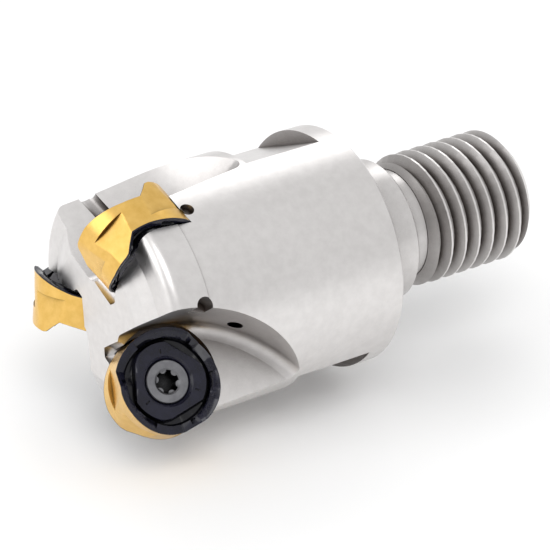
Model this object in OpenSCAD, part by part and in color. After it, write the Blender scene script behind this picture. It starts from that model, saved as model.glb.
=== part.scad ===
// Screw-in face milling head with three round double-sided inserts.
// The tool axis is X. The origin is the centre of the face that seats on the holder,
// the shank points to +X and the cutting end to -X. Insert 1 sits uppermost (+Z).

/* [Head] */
// diameter of the head
head_d = 28.8; // [28:0.1:30]
// diameter of the cutting circle swept by the three inserts
cutting_d = 32; // [31:0.5:34]
// distance from the seating face to the foremost cutting point
head_length = 34.5; // [33:0.5:43]
// length of the plain turned barrel, behind the slightly larger front section
barrel_length = 25.8; // [24:0.1:28]
// height of the step from the barrel up to the front section
barrel_step = 0.15; // [0.05:0.05:0.3]
// nose rim, measured back from the foremost cutting point
nose_setback = 3.9; // [3:0.1:5]
// radius of the rounded nose corner
nose_radius = 1.3; // [1:0.1:3]
// how far the central hub of the nose stands out in front of its rim
hub_rise = 1.5; // [0.5:0.1:2]
// diameter of the flat front of that hub
hub_d = 16; // [10:0.5:18]
// small chamfer at the rear rim of the head
rim_chamfer = 0.3; // [0.1:0.1:1]

/* [Spanner flats] */
// distance across the two spanner flats
flats_across = 25; // [24:0.5:27]
// distance from the seating face to the flats
flats_rear = 2.8; // [2:0.1:5]
// length of the flats along the axis
flats_length = 10; // [8:0.5:14]
// angle of the first flat about the axis, from straight up
flats_angle = -25.7; // [-60:0.1:60]

/* [Shank] */
// thread outside diameter
thread_d = 16; // [12:1:20]
// thread pitch
thread_pitch = 2; // [1.5:0.25:2.5]
// end of the shank, from the seating face
shank_length = 24; // [22:0.5:26]
// locating pilot diameter
pilot_d = 17; // [13:0.5:21]
// locating pilot length
pilot_length = 6.5; // [5:0.1:8]
// relief groove diameter between pilot and thread
relief_d = 13.2; // [12:0.1:15]
// relief groove length
relief_length = 2.4; // [1.5:0.1:4]
// coolant bore diameter
coolant_d = 5; // [3:0.5:7]
// coolant branch diameter
branch_d = 1.8; // [1.5:0.1:3]

/* [Insert] */
// insert diameter
insert_d = 12; // [10:1:16]
// insert thickness
insert_t = 4.9; // [3.18:0.01:5.56]
// height of each cutting edge segment above the land at its peak
edge_high = 0.85; // [0.5:0.05:1.2]
// depth of the same edge below the land where it ends
edge_low = 0.8; // [0.5:0.05:1.2]
// depth of the flats beside each peak, at the ledge where they start
facet_depth = 0.52; // [0.3:0.01:0.8]
// clearance tilt of those flats
facet_tilt = 5.7; // [0:0.1:10]
// diameter of the flat land the insert rests on
land_d = 8; // [7:0.1:9]
// tilt of the insert about the tool radius (negative axial rake)
axial_tilt = 8.5; // [0:0.5:15]
// tilt of the insert about the tool axis (negative radial rake)
radial_tilt = 22.3; // [0:0.1:30]

/* [Clamp screw] */
// clamp screw thread diameter
screw_d = 3.5; // [3:0.5:5]
// clamp screw thread pitch
screw_pitch = 0.6; // [0.5:0.1:0.8]
// clamp screw head diameter
screw_head_d = 5; // [4.6:0.1:5.4]
// clamp screw length under the top of its head
screw_length = 8.9; // [8:0.1:10]

/* [Hidden] */
teeth = 3;
head_r = head_d / 2;
insert_r = insert_d / 2;
land_r = land_d / 2;
rim_r = cutting_d / 2;
edge_rise = edge_high + edge_low;
peak_angle = 49;
foot_angle = 27;
// a cutting edge lies in one plane that falls from its peak, and in one that rises to it
climb = (peak_angle - foot_angle) / 2;
fall_size = edge_rise / (cos(climb) - cos(120 - 3 * climb));
fall_slope = atan(fall_size / insert_r);
fall_height = edge_high - fall_size * cos(climb);
rise_slope = atan(edge_rise / (2 * insert_r * sin(climb)));
rise_height = (edge_high - edge_low) / 2;
facet_angle = 44;
facet_z = -3.6;
// turn between the two faces when the insert is turned over
side_turn = 20;
sink_d = 5.8;
sink_depth = 1.5;
slack = 0.04;
far = 40;

// unit vectors of the insert axes seen in the tool frame
nx = -cos(radial_tilt) * sin(axial_tilt);
ny = cos(radial_tilt) * cos(axial_tilt);
nz = sin(radial_tilt);
out_y = sin(radial_tilt) * cos(axial_tilt);
out_z = cos(radial_tilt);
// height of the insert centre that brings the outermost edge onto the cutting circle
insert_z = sqrt(rim_r * rim_r - pow(insert_r * out_y, 2)) - insert_r * out_z;
insert_x = -head_length + insert_r * sqrt(1 - nx * nx);

// gullet and pocket, in the frame of the insert (x to the shank, y to the axis, z out)
floor_z = -1.4;
wall_relief = [0.42, 0.52];
wall_step_z = -4.4;
recess_depth = 1.1;
recess_r = 4.45;
recess_gap = 0.12;
recess_angle = 254;
recess_turn = 96;
front_relief = [-3.75, 5.25];
inner_relief = [3.8, 5.9, 6.4];
rear_relief = [4.2, -6.6, -4.15];
branch_exit = [9.07, 2.97, 2.15];
gullet_spot = [-2.6, -12.9];
gullet_r = 19.7;
gullet_round = 1.5;

// direction of the branches, from the coolant bore to their exits in the insert frame
branch_start = [14.4, 8.7, -5.9];
branch_run = branch_exit - branch_start;
branch_reach = norm(branch_run);
branch_turn = [-asin(branch_run[1] / branch_reach), atan2(branch_run[0], branch_run[2])];
nose_x = -head_length + nose_setback;
corner_x = nose_x + nose_radius;
corner_r = head_r - nose_radius;
thread_r = thread_d / 2 - 0.06;
root_r = thread_d / 2 - 0.6134 * thread_pitch;
thread_x = pilot_length + relief_length;
steps = 36;
turns = ceil((shank_length - thread_x) / thread_pitch) + 2;

steel = [0.72, 0.73, 0.75];
gold = [0.86, 0.66, 0.32];
zinc = [0.62, 0.62, 0.66];

// ---------- placing ----------

module along_x() {
  rotate([0, 90, 0])
    children();
}

module at_pocket(k) {
  rotate([120 * (k - 1), 0, 0])
    translate([insert_x, 0, insert_z])
      rotate([radial_tilt - 90, 0, axial_tilt])
        children();
}

// ---------- head ----------

module head_profile() {
  // radius against distance along the axis, drawn with the axis on Y
  union() {
    polygon([
      [0, corner_x],
      [head_r, corner_x],
      [head_r, -barrel_length],
      [head_r - barrel_step, -barrel_length + barrel_step],
      [head_r - barrel_step, -rim_chamfer],
      [head_r - barrel_step - rim_chamfer, 0],
      [0, 0]
    ]);
    translate([corner_r, corner_x])
      circle(r = nose_radius, $fn = 72);
    polygon([
      [0, nose_x - hub_rise],
      [hub_d / 2, nose_x - hub_rise],
      [hub_d / 2 + 1.6, nose_x - 0.9],
      [hub_d / 2 + 3.2, nose_x - 0.15],
      [corner_r, nose_x],
      [corner_r, corner_x + 0.01],
      [0, corner_x + 0.01]
    ]);
  }
}

module head_blank() {
  along_x()
    rotate_extrude($fn = 180)
      head_profile();
}

module flats() {
  for (side = [0, 180])
    rotate([flats_angle + side, 0, 0])
      translate([-flats_rear - flats_length, -head_r, flats_across / 2])
        cube([flats_length, 2 * head_r, head_r]);
}

// ---------- gullet and pocket ----------

module gullet() {
  // swept by a large milling cutter standing on the gullet floor
  translate([gullet_spot[0], gullet_spot[1], floor_z])
    rotate_extrude($fn = 180)
      union() {
        square([gullet_r - gullet_round, far]);
        translate([0, gullet_round])
          square([gullet_r, far]);
        translate([gullet_r - gullet_round, gullet_round])
          circle(r = gullet_round, $fn = 48);
      }
}

module pocket() {
  // round seat wall that locates the insert
  translate([0, 0, -insert_t])
    cylinder(r = insert_r + slack, h = insert_t + 4, $fn = 120);
  // upper part of the wall, relieved towards the gullet wall
  translate([wall_relief[0], wall_relief[1], wall_step_z])
    cylinder(r = insert_r + slack, h = 4, $fn = 120);
  // corner relief holes
  translate([front_relief[0], front_relief[1], -insert_t + 0.2])
    cylinder(r = 1.05, h = insert_t + 2, $fn = 48);
  translate([front_relief[0], front_relief[1], -insert_t - 0.5])
    cylinder(r1 = 0.1, r2 = 1.05, h = 0.7, $fn = 48);
  translate(inner_relief)
    cylinder(r = 1, h = far, $fn = 48);
  translate(rear_relief)
    rotate([-90, 0, 0])
      cylinder(r = 0.8, h = 2.4, $fn = 48);
}

module seat_recess() {
  // room below one lower cutting edge, with a floor that runs parallel to the edge
  difference() {
    intersection() {
      translate([0, 0, -insert_t - recess_depth])
        cylinder(r = insert_r + slack / 2, h = recess_depth + 1, $fn = 120);
      rotate([0, 0, recess_angle])
        translate([0, 0, -insert_t - recess_depth - 0.5])
          linear_extrude(recess_depth + 1)
            polygon([[0, 0], [9, 0], [9 * cos(recess_turn), 9 * sin(recess_turn)]]);
    }
    translate([0, 0, -insert_t - recess_depth - 1])
      cylinder(r = recess_r, h = recess_depth + 3, $fn = 96);
    translate([0, 0, -recess_gap])
      other_side()
        above_plane(peak_angle + climb, fall_height, fall_slope);
  }
}

module screw_hole() {
  translate([0, 0, -screw_length - 0.5])
    cylinder(d = screw_d + 0.1, h = screw_length - insert_t + 1, $fn = 48);
}

// ---------- shank ----------

module shank_core() {
  along_x()
    rotate_extrude($fn = 144)
      polygon([
        [0, -1],
        [pilot_d / 2, -1],
        [pilot_d / 2, pilot_length - 0.3],
        [pilot_d / 2 - 0.3, pilot_length],
        [relief_d / 2, pilot_length],
        [relief_d / 2, thread_x + 1],
        [0, thread_x + 1]
      ]);
}

function thread_point(i, m) =
  let (turn = i / steps, a = 360 * turn)
  let (offs = [0, 0.375, 0.5, 0.875][m] * thread_pitch)
  let (r = [root_r, thread_r, thread_r, root_r][m])
  [r * cos(a), r * sin(a), (turn - 1) * thread_pitch + offs + 0.125 * thread_pitch];

module thread_rod() {
  count = turns * steps;
  intersection() {
    translate([0, 0, thread_x])
      polyhedron(
        points = concat(
          [for (i = [0 : count]) for (m = [0 : 3]) thread_point(i, m)],
          [[0, 0, -2 * thread_pitch], [0, 0, turns * thread_pitch]]
        ),
        faces = thread_faces(count)
      );
    rotate_extrude($fn = 144)
      polygon([
        [0, thread_x],
        [root_r - 0.1, thread_x],
        [thread_r + 0.3, thread_x + 1.5],
        [thread_r + 0.3, shank_length - 1.6],
        [root_r - 0.2, shank_length],
        [0, shank_length]
      ]);
  }
}

function quad(a, b, c, d) = [[a, b, c], [a, c, d]];

// the side quads run round the helix; one pitch on, the next turn starts where this one ends
function thread_faces(count) =
  let (side = [for (i = [0 : count - 1]) for (m = [0 : 2])
    each quad(4 * i + m, 4 * i + m + 1, 4 * (i + 1) + m + 1, 4 * (i + 1) + m)])
  let (link = [for (i = [0 : count - steps - 1])
    each quad(4 * i + 3, 4 * (i + steps), 4 * (i + steps + 1), 4 * (i + 1) + 3)])
  let (low = 4 * (count + 1), high = low + 1)
  let (first = [for (i = [0 : steps - 1]) [4 * (i + 1), low, 4 * i]])
  let (last = [for (i = [count - steps : count - 1]) [4 * i + 3, high, 4 * (i + 1) + 3]])
  let (seam_low = [[low, 4 * steps, 3], [low, 3, 2], [low, 2, 1], [low, 1, 0]])
  let (end = 4 * count)
  let (seam_high = [
    [high, 4 * (count - steps) + 3, end], [high, end, end + 1],
    [high, end + 1, end + 2], [high, end + 2, end + 3]
  ])
  concat(side, link, first, last, seam_low, seam_high);

module coolant() {
  along_x()
    translate([0, 0, -19])
      cylinder(d = coolant_d, h = shank_length + 20, $fn = 60);
  along_x()
    translate([0, 0, shank_length - 0.8])
      cylinder(d1 = coolant_d, d2 = coolant_d + 1.8, h = 0.9, $fn = 60);
}

module branches() {
  // one branch to each gullet wall, aimed at the insert
  for (k = [1 : teeth])
    at_pocket(k)
      translate(branch_exit)
        rotate([branch_turn[0], branch_turn[1], 0])
          translate([0, 0, -branch_reach])
            cylinder(d = branch_d, h = branch_reach + 3, $fn = 36);
}

module head() {
  difference() {
    head_blank();
    flats();
    for (k = [1 : teeth])
      at_pocket(k) {
        gullet();
        pocket();
        for (s = [0, 1])
          rotate([0, 0, 120 * s])
            seat_recess();
        screw_hole();
      }
    coolant();
    branches();
  }
}

module shank() {
  difference() {
    union() {
      shank_core();
      along_x()
        thread_rod();
    }
    coolant();
  }
}

module mill_body() {
  color(steel)
    union() {
      head();
      shank();
    }
}

// ---------- insert ----------

module above_plane(angle, height, slope) {
  // everything above a plane that rises in the direction of the angle
  rotate([0, 0, angle])
    translate([0, 0, height])
      rotate([0, -slope, 0])
        translate([-12, -12, 0])
          cube([24, 24, 12]);
}

module falling_segment() {
  // what lies above one cutting edge segment, from its foot to just past the next foot
  intersection() {
    rotate([0, 0, foot_angle + 1.2])
      linear_extrude(8, center = true)
        polygon([[0, 0], [9, 0], [9, 9], [0, 12], [-6.18, 10.29]]);
    union() {
      above_plane(peak_angle + climb, fall_height, fall_slope);
      above_plane(peak_angle - climb + 90, rise_height, rise_slope);
    }
  }
}

module edge_relief() {
  difference() {
    union() {
      for (s = [0 : 2])
        rotate([0, 0, 120 * s])
          falling_segment();
    }
    cylinder(r = land_r + 0.5, h = 14, center = true, $fn = 96);
  }
}

module facets() {
  // flats beside the edge peaks, tilted for clearance
  for (s = [0 : 2])
    rotate([0, 0, facet_angle + 120 * s])
      translate([insert_r - facet_depth, 0, facet_z])
        rotate([0, facet_tilt, 0])
          translate([0, -4, 0])
            cube([2, 8, 8]);
}

module other_side() {
  translate([0, 0, -insert_t])
    rotate([180, 0, side_turn])
      children();
}

module insert_blank() {
  // the faces are lands inside and raised rims outside, with a chip groove between
  rotate_extrude($fn = 120)
    polygon([
      [0, 0],
      [land_r, 0],
      [land_r + 0.35, -edge_low - 0.2],
      [land_r + 0.7, -edge_low - 0.25],
      [land_r + 1.3, edge_high + 0.1],
      [insert_r, edge_high + 0.1],
      [insert_r, -edge_low - 0.2],
      [insert_r - 0.1, -insert_t / 2],
      [insert_r, edge_low + 0.2 - insert_t],
      [insert_r, -insert_t - edge_high - 0.1],
      [land_r + 1.3, -insert_t - edge_high - 0.1],
      [land_r + 0.7, edge_low + 0.25 - insert_t],
      [land_r + 0.35, edge_low + 0.2 - insert_t],
      [land_r, -insert_t],
      [0, -insert_t]
    ]);
}

module insert_body() {
  difference() {
    insert_blank();
    edge_relief();
    facets();
    other_side()
      edge_relief();
    other_side()
      facets();
    insert_bore();
  }
}

module insert_bore() {
  translate([0, 0, -insert_t - 1])
    cylinder(d = screw_d + 0.5, h = insert_t + 2, $fn = 60);
  countersink();
  other_side()
    countersink();
}

module countersink() {
  translate([0, 0, -sink_depth])
    cylinder(d1 = screw_d + 0.5, d2 = sink_d, h = sink_depth + 0.01, $fn = 60);
}

module insert(k) {
  color(gold)
    at_pocket(k)
      insert_body();
}

// ---------- clamp screw ----------

module screw_body() {
  difference() {
    rotate_extrude($fn = 60)
      union() {
        polygon([
          [0, -0.3],
          [screw_head_d / 2 - 0.1, -0.3],
          [screw_head_d / 2, -0.4],
          [screw_head_d / 2, -0.6],
          [screw_d / 2, -1.85],
          [screw_d / 2, -4.6],
          [screw_d / 2 - 0.37, -4.9],
          [screw_d / 2 - 0.37, -screw_length],
          [0, -screw_length]
        ]);
        for (z = [-5.2 : -screw_pitch : 0.4 - screw_length])
          polygon([
            [0.5, z],
            [screw_d / 2 - 0.4, z],
            [screw_d / 2 - 0.02, z - screw_pitch * 0.43],
            [screw_d / 2 - 0.02, z - screw_pitch * 0.57],
            [screw_d / 2 - 0.4, z - screw_pitch],
            [0.5, z - screw_pitch]
          ]);
      }
    star_socket();
  }
}

module star_socket() {
  // six-lobe driving recess
  translate([0, 0, -1.9])
    linear_extrude(2)
      difference() {
        circle(r = 1.36, $fn = 60);
        for (lobe = [0 : 5])
          rotate(60 * lobe + 30)
            translate([1.42, 0])
              circle(r = 0.42, $fn = 30);
      }
  translate([0, 0, -0.5])
    cylinder(r1 = 1.25, r2 = 1.55, h = 0.21, $fn = 48);
}

module insert_screw(k) {
  color(zinc)
    at_pocket(k)
      screw_body();
}

mill_body();
insert(1);  // insert_1
insert(2);  // insert_2
insert(3);  // insert_3
insert_screw(1);  // insert_screw_1
insert_screw(2);  // insert_screw_2
insert_screw(3);  // insert_screw_3
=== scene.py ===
import math

import bpy
from mathutils import Matrix, Vector


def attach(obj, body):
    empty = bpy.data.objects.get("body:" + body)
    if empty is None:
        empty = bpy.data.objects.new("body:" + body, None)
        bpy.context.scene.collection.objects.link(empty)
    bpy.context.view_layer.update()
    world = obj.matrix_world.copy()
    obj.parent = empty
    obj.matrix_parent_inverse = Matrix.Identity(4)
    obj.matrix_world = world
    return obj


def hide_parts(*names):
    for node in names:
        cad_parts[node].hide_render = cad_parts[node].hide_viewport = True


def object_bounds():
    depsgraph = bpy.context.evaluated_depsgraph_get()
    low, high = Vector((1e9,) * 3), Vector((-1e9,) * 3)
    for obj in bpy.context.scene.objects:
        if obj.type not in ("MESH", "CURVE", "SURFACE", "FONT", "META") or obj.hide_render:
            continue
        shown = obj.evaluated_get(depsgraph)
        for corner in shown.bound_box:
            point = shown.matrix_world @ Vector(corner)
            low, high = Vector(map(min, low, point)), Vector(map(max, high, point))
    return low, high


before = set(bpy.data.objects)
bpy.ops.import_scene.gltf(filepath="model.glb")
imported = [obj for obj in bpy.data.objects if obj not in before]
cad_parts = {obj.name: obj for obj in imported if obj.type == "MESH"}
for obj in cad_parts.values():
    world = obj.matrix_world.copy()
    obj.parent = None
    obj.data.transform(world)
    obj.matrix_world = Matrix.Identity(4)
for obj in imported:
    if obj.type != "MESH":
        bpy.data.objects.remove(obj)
size_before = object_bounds()

MM = 0.001  # the shape tables below are in millimetres

# place and tilt of the first insert, the others follow at 120 degrees round X
AXIAL, RADIAL = math.radians(8.5), math.radians(22.3)
INSERT_X, INSERT_Z = -28.556, 10.29
TEETH = 3

# the insert: its round body and the height of its cutting edges over the land
INSERT_R, INSERT_T = 6.0, 4.9
WAIST = 0.05  # how much thinner the flank is half way down
SIDE_TURN = 20.0  # the underside is the top turned over, then turned by this angle
FOOT = 27.0  # lowest point of a cutting edge, where the rise to the next peak starts
EDGE = [
    (0, -0.80), (11, 0.05), (19, 0.74), (24, 0.85), (50, 0.80),
    (64, 0.54), (84, 0.02), (100, -0.44), (111, -0.66), (120, -0.80),
]
# clearance flats on the flank beside each edge peak
FACET_ANGLE, FACET_DEPTH, FACET_LOW = 44.0, 0.52, 3.6
FACET_TILT = math.tan(math.radians(5.7))
FACET_SPAN = 40.0
NO_FACET = 99.0
# rings of the face, from the bore outwards
BORE_R, SINK_R = 2.0, 2.86
LAND_R, LAND_FLAT = 4.45, 3.75
BAND_R = 4.95
TICK_ANGLE, TICK_DEPTH = 83.0, 0.12
INSERT_STEPS = 540
SHARP = math.radians(24)

FLOOR_HALF = 2.0
LOWEST = -0.0162  # the lowest cutting edge

# sockets of the colour mix node
MIX_A, MIX_B, MIX_RESULT = 6, 7, 2


def pocket_matrix(k):
    """Insert frame (x to the shank, y to the axis, z out of its face) to the tool frame."""
    turn = Matrix.Rotation(math.radians(120 * k), 4, "X")
    place = Matrix.Translation((INSERT_X, 0, INSERT_Z))
    tilt = Matrix.Rotation(AXIAL, 4, "Z") @ Matrix.Rotation(RADIAL - math.pi / 2, 4, "X")
    return turn @ place @ tilt


# ---------- materials ----------


class Nodes:
    """Small helper that adds shader nodes and links them."""

    def __init__(self, name):
        self.mat = bpy.data.materials.new(name)
        self.mat.use_nodes = True
        self.tree = self.mat.node_tree
        self.tree.nodes.clear()
        out = self.add("ShaderNodeOutputMaterial")
        self.bsdf = self.add("ShaderNodeBsdfPrincipled")
        self.link(self.bsdf.outputs["BSDF"], out.inputs["Surface"])

    def link(self, a, b):
        self.tree.links.new(a, b)

    def add(self, kind, **values):
        node = self.tree.nodes.new(kind)
        for key, value in values.items():
            setattr(node, key, value)
        return node

    def coords(self):
        return self.add("ShaderNodeTexCoord").outputs["Object"]

    def noise(self, source, scale, detail=3.0, rough=0.5):
        node = self.add("ShaderNodeTexNoise")
        self.link(source, node.inputs["Vector"])
        node.inputs["Scale"].default_value = scale
        node.inputs["Detail"].default_value = detail
        node.inputs["Roughness"].default_value = rough
        return node.outputs["Fac"]

    def remap(self, source, from_min, from_max, to_min, to_max):
        node = self.add("ShaderNodeMapRange")
        self.link(source, node.inputs["Value"])
        node.inputs["From Min"].default_value = from_min
        node.inputs["From Max"].default_value = from_max
        node.inputs["To Min"].default_value = to_min
        node.inputs["To Max"].default_value = to_max
        return node.outputs["Result"]

    def ramp(self, source, low, dark, high, light):
        """Colour that goes from dark to light where the source goes from low to high."""
        node = self.add("ShaderNodeValToRGB")
        self.link(source, node.inputs["Fac"])
        first, second = node.color_ramp.elements
        first.position, first.color = low, (*dark, 1)
        second.position, second.color = high, (*light, 1)
        return node.outputs["Color"]

    def bump(self, height, distance, strength):
        node = self.add("ShaderNodeBump")
        self.link(height, node.inputs["Height"])
        node.inputs["Distance"].default_value = distance
        node.inputs["Strength"].default_value = strength
        self.link(node.outputs["Normal"], self.bsdf.inputs["Normal"])


def metal(name, light, dark, rough, crevice_shade, metallic=1.0, reach=0.004):
    """Fine-grained surface with painted shade: its colour is mixed towards a dark colour in narrow
    gaps and hollows, by the ambient occlusion of the piece itself.
    """
    m = Nodes(name)
    place = m.coords()
    fine = m.noise(place, 900, 4.0, 0.6)
    cloud = m.noise(place, 60.0, 2.0, 0.5)
    colour = m.ramp(fine, 0.35, dark, 0.65, light)
    # painted shade: ambient occlusion within this piece darkens the colour in gaps, hollows and
    # grooves
    painted_shade_ao = m.add("ShaderNodeAmbientOcclusion", samples=8, only_local=True)
    painted_shade_ao.inputs["Distance"].default_value = reach
    mix = m.add("ShaderNodeMix", data_type="RGBA")
    m.link(m.remap(painted_shade_ao.outputs["AO"], 0.36, 0.95, 0.0, 1.0), mix.inputs["Factor"])
    mix.inputs[MIX_A].default_value = (*crevice_shade, 1)
    m.link(colour, mix.inputs[MIX_B])
    m.link(mix.outputs[MIX_RESULT], m.bsdf.inputs["Base Color"])
    m.bsdf.inputs["Metallic"].default_value = metallic
    m.bsdf.inputs["Specular IOR Level"].default_value = 0.35
    m.link(m.remap(cloud, 0.3, 0.7, rough - 0.04, rough + 0.05), m.bsdf.inputs["Roughness"])
    m.bump(fine, 1e-6, 0.2)
    return m.mat


# each finish below gets painted shade, darkening towards its crevice colour in gaps and hollows
steel = metal(
    "satin_steel", (0.74, 0.72, 0.71), (0.69, 0.67, 0.66), 0.34,
    crevice_shade=(0.06, 0.045, 0.038), reach=0.013,
)
screw_steel = metal(
    "screw_steel", (0.20, 0.20, 0.21), (0.15, 0.15, 0.16), 0.34,
    crevice_shade=(0.006, 0.006, 0.006),
)
black_coat = metal(
    "black_coating", (0.010, 0.010, 0.022), (0.006, 0.006, 0.014), 0.18,
    crevice_shade=(0.001, 0.001, 0.001), metallic=0.0,
)
gold = metal(
    "gold_coating", (0.84, 0.54, 0.16), (0.76, 0.47, 0.12), 0.27,
    crevice_shade=(0.05, 0.025, 0.008),
)

for name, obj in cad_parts.items():
    mat = steel if name == "mill_body" else screw_steel if "screw" in name else gold
    obj.data.materials.clear()
    obj.data.materials.append(mat)


# ---------- inserts: the detailed shape of the coated insert, in millimetres ----------


def smooth(a, b, x):
    t = min(1.0, max(0.0, (x - a) / (b - a)))
    return t * t * (3 - 2 * t)


def from_foot(angle):
    """Angle past the last foot of the cutting edge, 0 to 120."""
    return (angle - FOOT) % 120.0


def away_from(angle, centre):
    """Signed angle to the nearest of three directions 120 degrees apart."""
    return (angle - centre + 60.0) % 120.0 - 60.0


def edge_height(angle):
    """Height of the cutting edge over the land, repeating three times round the insert."""
    t = from_foot(angle)
    for (a, low), (b, high) in zip(EDGE, EDGE[1:]):
        if t <= b:
            return low + (high - low) * (t - a) / (b - a)
    return EDGE[-1][1]


def facet_radius(angle, depth):
    """Distance to the clearance flat beside a peak, at a depth below its own face."""
    off = away_from(angle, FACET_ANGLE)
    if abs(off) > FACET_SPAN:
        return NO_FACET
    reach = INSERT_R - FACET_DEPTH + FACET_TILT * (FACET_LOW - depth)
    return reach / math.cos(math.radians(off))


def flank_radius(angle, z):
    """Radius of the flank, cut by the flats of the top and those of the underside."""
    half = INSERT_T / 2
    r = INSERT_R - WAIST * smooth(0.0, 0.8, 1.0 - abs(z + half) / half)
    if -z < FACET_LOW:
        r = min(r, facet_radius(angle, -z))
    if z + INSERT_T < FACET_LOW:
        r = min(r, facet_radius(SIDE_TURN - angle, z + INSERT_T))
    return r


def face_profile(angle, flank):
    """Points (radius, height) from the bore to the edge, for a face seen from its own side."""
    t = from_foot(angle)
    edge = edge_height(angle)
    rim = flank(edge)
    rise = 1.0 - smooth(2, 22, t) if t < 60 else smooth(86, 118, t)
    # the land is a rounded triangle with a flat before each peak
    chord = abs(away_from(t, 12))
    land = min(LAND_R - 0.45 * rise, LAND_FLAT / max(0.4, math.cos(math.radians(chord))))
    band = BAND_R + 0.05 * rise
    floor = -0.75 - 0.45 * rise
    groove = TICK_DEPTH * (1 - smooth(0.9, 1.7, abs(away_from(angle, TICK_ANGLE))))
    inner = min(edge - 0.10, 0.25)
    return [
        (BORE_R, -1.5),
        (SINK_R, -0.06),
        (2.93, 0.0),
        (3.20, 0.0),
        (3.27, -groove),
        (3.45, -groove),
        (min(3.62, land - 0.12), -groove if land > 3.9 else 0.0),
        (min(3.80, land - 0.06), 0.0),
        (land, -0.03),
        (land + 0.06, -0.12),
        (land + 0.18, floor + 0.12),
        (land + 0.30, floor),
        (band - 0.24, floor + 0.02),
        (band - 0.10, min(floor + 0.2, inner - 0.1)),
        (band, inner - 0.05 if inner - 0.05 > floor else floor + 0.05),
        (band + 0.14, max(edge - 0.42, floor + 0.12) if edge > 0 else edge - 0.10),
        (rim - 0.34, edge - 0.05),
        (rim - 0.05, edge),
    ]


def flank_heights(z_top, z_low):
    """Heights of the rings down the flank, with a pair at each ledge of the flats."""
    upper, lower = FACET_LOW - INSERT_T, -FACET_LOW
    ledges = [
        upper + 0.3, upper + 0.01, upper - 0.01, upper - 0.5,
        -INSERT_T / 2,
        lower + 0.5, lower + 0.01, lower - 0.01,
    ]
    ledges = [max(min(h, z_top - 0.17), z_low + 0.17) for h in ledges]
    return [z_top - 0.04, z_top - 0.16] + ledges + [z_low + 0.16, z_low + 0.04]


def insert_row(angle):
    """One closed section at an angle, and which of its points are on the gold flank."""
    top = face_profile(angle, lambda z: flank_radius(angle, z))
    under = face_profile(SIDE_TURN - angle, lambda z: flank_radius(angle, -INSERT_T - z))
    low = [(r, -INSERT_T - z) for r, z in under]
    flank = [(flank_radius(angle, h), h) for h in flank_heights(top[-1][1], low[-1][1])]
    gold_points = range(len(top), len(top) + len(flank) - 2)
    c, s = math.cos(math.radians(angle)), math.sin(math.radians(angle))
    return [(r * c, r * s, z) for r, z in top + flank + low[::-1]], gold_points


def insert_mesh(name, k):
    """A closed surface turned round the bore: both faces, their edges and the flank between."""
    rows = []
    for i in range(INSERT_STEPS):
        row, gold_points = insert_row(360.0 * i / INSERT_STEPS)
        rows.append(row)
    n = len(rows[0])
    place = pocket_matrix(k)
    verts = [tuple(place @ Vector(p) * MM) for row in rows for p in row]
    faces, slots = [], []
    for i in range(INSERT_STEPS):
        j = (i + 1) % INSERT_STEPS
        for m in range(n):
            q = (m + 1) % n
            faces.append((i * n + m, i * n + q, j * n + q, j * n + m))
            slots.append(1 if m in gold_points else 0)
    mesh = bpy.data.meshes.new(name)
    mesh.from_pydata(verts, [], faces)
    mesh.update()
    piece = bpy.data.objects.new(name, mesh)
    bpy.context.scene.collection.objects.link(piece)
    mesh.materials.append(black_coat)
    mesh.materials.append(gold)
    mesh.polygons.foreach_set("material_index", slots)
    mesh.polygons.foreach_set("use_smooth", [True] * len(faces))
    mesh.set_sharp_from_angle(angle=SHARP)
    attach(piece, f"insert_{k + 1}")
    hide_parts(f"insert_{k + 1}")


for k in range(TEETH):
    insert_mesh(f"coated_insert_{k + 1}", k)


# ---------- floor, lights and camera ----------


def floor():
    mesh = bpy.data.meshes.new("floor")
    s, z = FLOOR_HALF, min(size_before[0][2], LOWEST)
    mesh.from_pydata([(-s, -s, z), (s, -s, z), (s, s, z), (-s, s, z)], [], [(0, 1, 2, 3)])
    sheet = bpy.data.objects.new("floor", mesh)
    bpy.context.scene.collection.objects.link(sheet)
    m = Nodes("floor_paper")
    cloud = m.noise(m.coords(), 8.0)
    white = m.ramp(cloud, 0.3, (0.93, 0.93, 0.93), 0.7, (0.95, 0.95, 0.95))
    m.link(white, m.bsdf.inputs["Base Color"])
    m.bsdf.inputs["Roughness"].default_value = 0.9
    mesh.materials.append(m.mat)


def area(name, where, target, size, watts):
    data = bpy.data.lights.new(name, "AREA")
    data.shape = "RECTANGLE"
    data.size, data.size_y = size
    data.energy = watts
    lamp = bpy.data.objects.new(name, data)
    lamp.location = where
    aim = Vector(target) - Vector(where)
    lamp.rotation_euler = aim.to_track_quat("-Z", "Y").to_euler()
    bpy.context.scene.collection.objects.link(lamp)


floor()
centre = (-0.008, 0, 0)
area("key", (-0.15, -0.35, 0.55), centre, (0.35, 0.35), 1.2)
area("left", (-0.6, 0.05, 0.3), centre, (0.35, 0.5), 0.8)
area("back", (0.25, 0.5, 0.5), centre, (0.6, 0.3), 0.9)

world = bpy.data.worlds.new("studio")
bpy.context.scene.world = world
world.use_nodes = True
sky = world.node_tree.nodes["Background"]
sky.inputs["Color"].default_value = (1.0, 1.0, 1.0, 1)
sky.inputs["Strength"].default_value = 0.82
bpy.context.scene.view_settings.view_transform = "Standard"

# camera fitted to the viewing angle: its place, its backward and upward directions, its focal length
EYE = Vector((-0.20638, -0.28699, 0.18893))
SENSOR, FRAME_WIDTH, FOCAL = 36.0, 550.0, 3431.7
back = Vector((-0.4986, -0.7219, 0.4799))
up = Vector((0.2624, 0.4020, 0.8772))
right = up.cross(back).normalized()
up = back.cross(right).normalized()
back.normalize()

camera_data = bpy.data.cameras.new("camera")
camera_data.sensor_width = SENSOR
camera_data.lens = SENSOR * FOCAL / FRAME_WIDTH
camera_data.clip_start, camera_data.clip_end = 0.01, 10.0
camera = bpy.data.objects.new("camera", camera_data)
pose = Matrix((right, up, back)).transposed().to_4x4()
pose.translation = EYE
camera.matrix_world = pose
bpy.context.scene.collection.objects.link(camera)
bpy.context.scene.camera = camera
